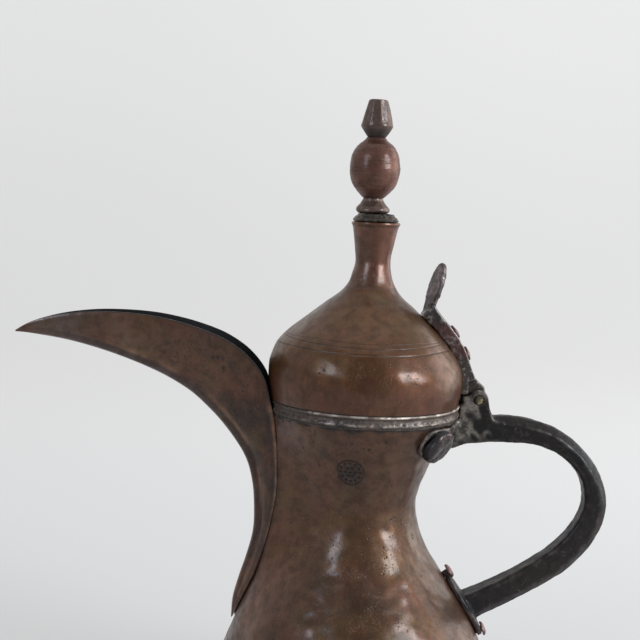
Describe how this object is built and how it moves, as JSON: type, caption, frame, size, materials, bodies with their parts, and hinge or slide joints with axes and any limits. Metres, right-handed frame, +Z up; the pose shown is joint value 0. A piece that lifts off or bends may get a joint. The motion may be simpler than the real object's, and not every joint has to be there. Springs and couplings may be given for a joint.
{
  "type": "dallah coffee pot",
  "caption": "Waisted copper coffee pot with an open-topped crescent spout, a hinged onion lid under a tall stacked finial, and a cast loop handle.",
  "frame": {"origin": "centre of the flat underside of the base, on the pot's axis", "axes": "+Z up along the pot's axis, -X towards the spout's tip, +X towards the handle"},
  "size_m": [0.3017, 0.1394, 0.3292],
  "materials": {
    "copper": "brown patinated hammered sheet copper, worn satin with small dark pits and fine scratches",
    "red_copper": "redder patinated turned copper with fine turning lines",
    "dark_cast": "near-black cast copper alloy with grey tin flecks and traces of verdigris",
    "tinned": "copper with worn dull grey tinning",
    "brass": "worn yellow brass"
  },
  "bodies": {
    "pot": {"upper_body": "copper", "lower_body": "copper", "base_plate": "copper", "mouth_band": "tinned", "spout": "copper", "handle": "dark_cast", "saddle_rivet_left": "copper", "saddle_rivet_right": "copper", "foot_rivet_lower": "copper", "foot_rivet_upper": "copper", "hinge_pin": "brass"},
    "lid": {"lid_dome": "copper", "lid_collar": "tinned", "lid_neck": "red_copper", "neck_cap": "copper", "finial_bead": "copper", "finial_ball": "red_copper", "finial_cap": "copper", "finial_rod": "copper", "rod_washer": "copper", "lid_strap": "dark_cast", "strap_rivet_lower": "red_copper", "strap_rivet_upper": "red_copper"}
  },
  "joints": [
    {"name": "lid_hinge", "type": "hinge", "parent": "pot", "child": "lid", "pos_m": [0.0568, 0, 0.183], "axis": [0, 1, 0], "range_deg": [0, 100]}
  ]
}
